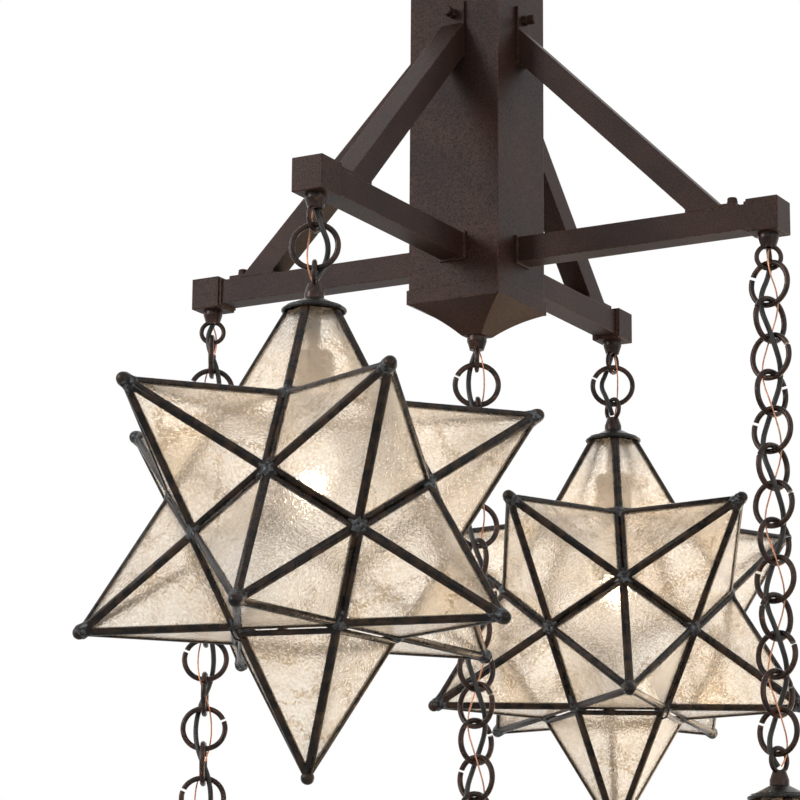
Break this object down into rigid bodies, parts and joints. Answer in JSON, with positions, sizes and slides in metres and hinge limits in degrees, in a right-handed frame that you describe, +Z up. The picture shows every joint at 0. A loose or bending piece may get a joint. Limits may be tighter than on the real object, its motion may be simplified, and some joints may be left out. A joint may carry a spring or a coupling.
{
  "type": "star pendant chandelier",
  "caption": "Chandelier of star-shaped seeded-glass pendants hanging on ring chains from a square column with braced arms, each star with a hinged relamping door.",
  "frame": {"origin": "on the ceiling, at the middle of the line between the mounting bar's two box screw holes", "axes": "+Z up, +X towards the arm with the second shortest pendant, +Y towards the back arm, away from the viewer"},
  "size_m": [1.0502, 1.0556, 2.283],
  "materials": {
    "bronze": "dark textured bronze",
    "came_metal": "black patina over solder",
    "seedy_glass": "warm seeded glass",
    "lamp_glass": "frosted, lit",
    "black_phenolic": "dark lampholder",
    "black_insulation": "satin",
    "plated_steel": "zinc plated",
    "copper": "bare copper"
  },
  "bodies": {
    "frame": {"mounting_bar": "plated_steel", "canopy": "bronze", "wiring": "black_insulation", "column": "bronze", "finial": "bronze", "screws": "bronze", "hang_loops": "bronze", "front_arm": "bronze", "back_arm": "bronze", "right_arm": "bronze", "left_arm": "bronze", "front_brace": "bronze", "back_brace": "bronze", "right_brace": "bronze", "left_brace": "bronze"},
    "front_hanger": {"front_chain": "bronze", "front_cord": "black_insulation"},
    "front_star": {"front_cap": "bronze", "front_came": "came_metal", "front_glass": "seedy_glass", "front_lampholder": "black_phenolic", "front_bulb": "lamp_glass"},
    "front_door": {"front_door_came": "came_metal", "front_door_glass": "seedy_glass"},
    "back_hanger": {"back_chain": "bronze", "back_cord": "black_insulation"},
    "back_star": {"back_cap": "bronze", "back_came": "came_metal", "back_glass": "seedy_glass", "back_lampholder": "black_phenolic", "back_bulb": "lamp_glass"},
    "back_door": {"back_door_came": "came_metal", "back_door_glass": "seedy_glass"},
    "right_hanger": {"right_chain": "bronze", "right_cord": "black_insulation"},
    "right_star": {"right_cap": "bronze", "right_came": "came_metal", "right_glass": "seedy_glass", "right_lampholder": "black_phenolic", "right_bulb": "lamp_glass"},
    "right_door": {"right_door_came": "came_metal", "right_door_glass": "seedy_glass"},
    "left_hanger": {"left_chain": "bronze", "left_cord": "black_insulation"},
    "left_star": {"left_cap": "bronze", "left_came": "came_metal", "left_glass": "seedy_glass", "left_lampholder": "black_phenolic", "left_bulb": "lamp_glass"},
    "left_door": {"left_door_came": "came_metal", "left_door_glass": "seedy_glass"},
    "centre_hanger": {"centre_chain": "bronze", "centre_cord": "black_insulation"},
    "centre_star": {"centre_cap": "bronze", "centre_came": "came_metal", "centre_glass": "seedy_glass", "centre_lampholder": "black_phenolic", "centre_bulb": "lamp_glass"},
    "centre_door": {"centre_door_came": "came_metal", "centre_door_glass": "seedy_glass"}
  },
  "joints": [
    {"name": "front_chain_swing", "type": "hinge", "parent": "frame", "child": "front_hanger", "pos_m": [0, -0.319, -0.48135], "axis": [0, 1, 0], "range_deg": [-6, 6]},
    {"name": "front_star_swing", "type": "hinge", "parent": "front_hanger", "child": "front_star", "pos_m": [0, -0.319, -0.51755], "axis": [-0.9397, -0.342, 0], "range_deg": [-6, 6]},
    {"name": "front_door_hinge", "type": "hinge", "parent": "front_star", "child": "front_door", "pos_m": [0.02546, -0.25723, -0.86499], "axis": [0.9245, -0.3811, 0], "range_deg": [0, 90]},
    {"name": "back_chain_swing", "type": "hinge", "parent": "frame", "child": "back_hanger", "pos_m": [0, 0.319, -0.48135], "axis": [0, 1, 0], "range_deg": [-6, 6]},
    {"name": "back_star_swing", "type": "hinge", "parent": "back_hanger", "child": "back_star", "pos_m": [0, 0.319, -0.51755], "axis": [-0.9063, -0.4226, 0], "range_deg": [-6, 6]},
    {"name": "back_door_hinge", "type": "hinge", "parent": "back_star", "child": "back_door", "pos_m": [-0.06079, 0.3467, -0.86499], "axis": [0.4147, 0.91, 0], "range_deg": [0, 90]},
    {"name": "right_chain_swing", "type": "hinge", "parent": "frame", "child": "right_hanger", "pos_m": [0.319, 0, -0.48135], "axis": [0.8704, 0.4924, 0], "range_deg": [-3, 3]},
    {"name": "right_star_swing", "type": "hinge", "parent": "right_hanger", "child": "right_star", "pos_m": [0.319, 0, -0.94955], "axis": [-0.9636, 0.2672, 0], "range_deg": [-4, 4]},
    {"name": "right_door_hinge", "type": "hinge", "parent": "right_star", "child": "right_door", "pos_m": [0.38178, 0.02285, -1.29699], "axis": [0.342, -0.9397, 0], "range_deg": [0, 90]},
    {"name": "left_chain_swing", "type": "hinge", "parent": "frame", "child": "left_hanger", "pos_m": [-0.319, 0, -0.48135], "axis": [0.8704, 0.4924, 0], "range_deg": [-2, 2]},
    {"name": "left_star_swing", "type": "hinge", "parent": "left_hanger", "child": "left_star", "pos_m": [-0.319, 0, -1.38155], "axis": [-0.4924, 0.8704, 0], "range_deg": [-4, 4]},
    {"name": "left_door_hinge", "type": "hinge", "parent": "left_star", "child": "left_door", "pos_m": [-0.3524, -0.05786, -1.729], "axis": [-0.866, 0.5, 0], "range_deg": [0, 90]},
    {"name": "centre_chain_swing", "type": "hinge", "parent": "frame", "child": "centre_hanger", "pos_m": [0, 0, -0.54675], "axis": [-0.4924, 0.8704, 0], "range_deg": [-2, 2]},
    {"name": "centre_star_swing", "type": "hinge", "parent": "centre_hanger", "child": "centre_star", "pos_m": [0, 0, -1.80695], "axis": [0.2672, 0.9636, 0], "range_deg": [-4, 4]},
    {"name": "centre_door_hinge", "type": "hinge", "parent": "centre_star", "child": "centre_door", "pos_m": [0.04294, -0.05118, -2.1544], "axis": [-0.766, -0.6428, 0], "range_deg": [0, 90]}
  ]
}
